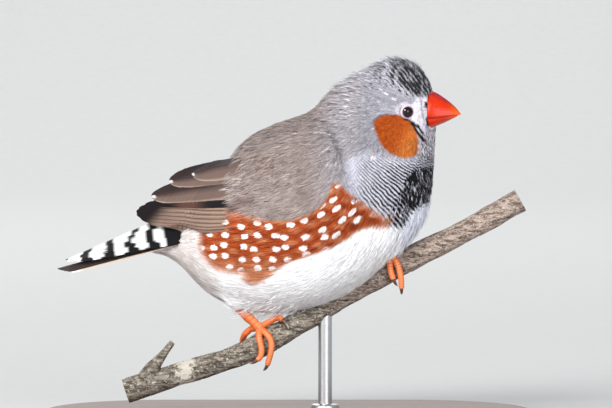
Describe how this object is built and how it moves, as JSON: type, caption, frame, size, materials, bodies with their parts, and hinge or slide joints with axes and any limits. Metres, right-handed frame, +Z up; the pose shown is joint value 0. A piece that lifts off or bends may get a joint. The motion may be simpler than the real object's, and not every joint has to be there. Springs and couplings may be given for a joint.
{
  "type": "perched zebra finch museum model",
  "caption": "Life-size still model of a male zebra finch gripping a short cut branch, held on a plain display stand.",
  "frame": {"origin": "middle of the underside of the stand's base", "axes": "+X towards the end the bird faces, +Z up, +Y to the bird's left"},
  "size_m": [0.112, 0.056, 0.0856],
  "materials": {
    "plumage_head": "soft fine feathers, blue grey with an orange chestnut cheek",
    "plumage_body": "soft hairlike feathers, white belly with chestnut flanks and white spots",
    "plumage_wing": "flat overlapping feathers, brown with pale edges",
    "plumage_tail": "black feathers with white bars",
    "bill": "smooth horn with a soft gloss, red orange",
    "eye": "wet gloss, dark red brown",
    "leg": "scaled skin, bright orange",
    "claw": "horn, brown with pale tips",
    "bark": "rough mottled bark with pale lichen",
    "stand_wood": "dark stained wood, satin varnish",
    "stand_steel": "fine brushed"
  },
  "bodies": {
    "root": {"bill_lower": "bill", "bill_upper": "bill", "claw_left_1": "claw", "claw_left_2": "claw", "claw_left_3": "claw", "claw_left_4": "claw", "claw_right_1": "claw", "claw_right_2": "claw", "claw_right_3": "claw", "claw_right_4": "claw", "eye_left": "eye", "eye_right": "eye", "foot_left": "leg", "foot_right": "leg", "head": "plumage_head", "neck": "plumage_head", "perch": "bark", "stand_base": "stand_wood", "stand_rod": "stand_steel", "tail_coverts": "plumage_tail", "tail_feathers": "plumage_tail", "tarsus_left": "leg", "tarsus_right": "leg", "thigh_right": "plumage_body", "trunk": "plumage_body", "wing_left_coverts": "plumage_wing", "wing_left_primaries": "plumage_wing", "wing_left_tertials": "plumage_wing", "wing_right_coverts": "plumage_wing", "wing_right_primaries": "plumage_wing", "wing_right_tertials": "plumage_wing"}
  },
  "joints": []
}
